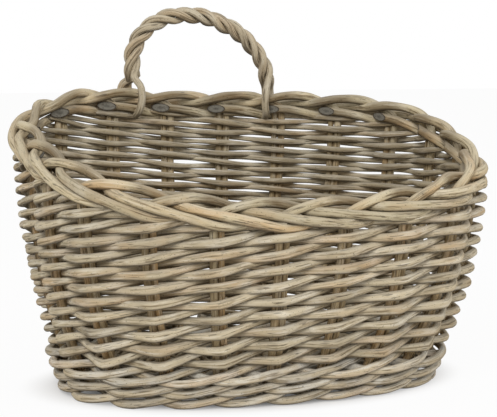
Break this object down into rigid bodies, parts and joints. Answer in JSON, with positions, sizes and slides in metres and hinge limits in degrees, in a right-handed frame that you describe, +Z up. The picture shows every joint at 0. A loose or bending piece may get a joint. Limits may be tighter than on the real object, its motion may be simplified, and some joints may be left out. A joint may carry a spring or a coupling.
{
  "type": "wall basket",
  "caption": "Oval willow wall basket, woven wall higher at the back, with a twisted hanging loop on its back rim.",
  "frame": {"origin": "middle of the bounding box, on the floor under the basket", "axes": "+Z up, +Y towards the wall it hangs on, +X along the basket's long side"},
  "size_m": [0.372, 0.2572, 0.2856],
  "materials": {
    "stake_willow": "matt",
    "wale_willow": "matt",
    "weaver_willow": "matt",
    "loop_willow": "matt",
    "base_willow": "matt"
  },
  "bodies": {
    "root": {"stake_01": "stake_willow", "stake_02": "stake_willow", "stake_03": "stake_willow", "stake_04": "stake_willow", "stake_05": "stake_willow", "stake_06": "stake_willow", "stake_07": "stake_willow", "stake_08": "stake_willow", "stake_09": "stake_willow", "stake_10": "stake_willow", "stake_11": "stake_willow", "stake_12": "stake_willow", "stake_13": "stake_willow", "stake_14": "stake_willow", "stake_15": "stake_willow", "stake_16": "stake_willow", "stake_17": "stake_willow", "stake_18": "stake_willow", "stake_19": "stake_willow", "stake_20": "stake_willow", "wale_1_rod_1": "wale_willow", "wale_1_rod_2": "wale_willow", "wale_1_rod_3": "wale_willow", "wale_2_rod_1": "wale_willow", "wale_2_rod_2": "wale_willow", "wale_2_rod_3": "wale_willow", "rand_weaver_01": "weaver_willow", "rand_weaver_02": "weaver_willow", "rand_weaver_03": "weaver_willow", "rand_weaver_04": "weaver_willow", "rand_weaver_05": "weaver_willow", "rand_weaver_06": "weaver_willow", "rand_weaver_07": "weaver_willow", "rand_weaver_08": "weaver_willow", "rand_weaver_09": "weaver_willow", "rand_weaver_10": "weaver_willow", "rand_weaver_11": "weaver_willow", "rand_weaver_12": "weaver_willow", "rand_weaver_13": "weaver_willow", "rand_weaver_14": "weaver_willow", "rand_weaver_15": "weaver_willow", "rand_weaver_16": "weaver_willow", "rand_weaver_17": "weaver_willow", "rand_weaver_18": "weaver_willow", "rand_weaver_19": "weaver_willow", "rand_weaver_20": "weaver_willow", "rand_weaver_21": "weaver_willow", "rand_weaver_22": "weaver_willow", "rand_weaver_23": "weaver_willow", "rand_weaver_24": "weaver_willow", "base_slath": "base_willow", "base_weaver_1": "base_willow", "base_weaver_2": "base_willow", "loop_rod_1": "loop_willow", "loop_rod_2": "loop_willow", "loop_rod_3": "loop_willow"}
  },
  "joints": []
}
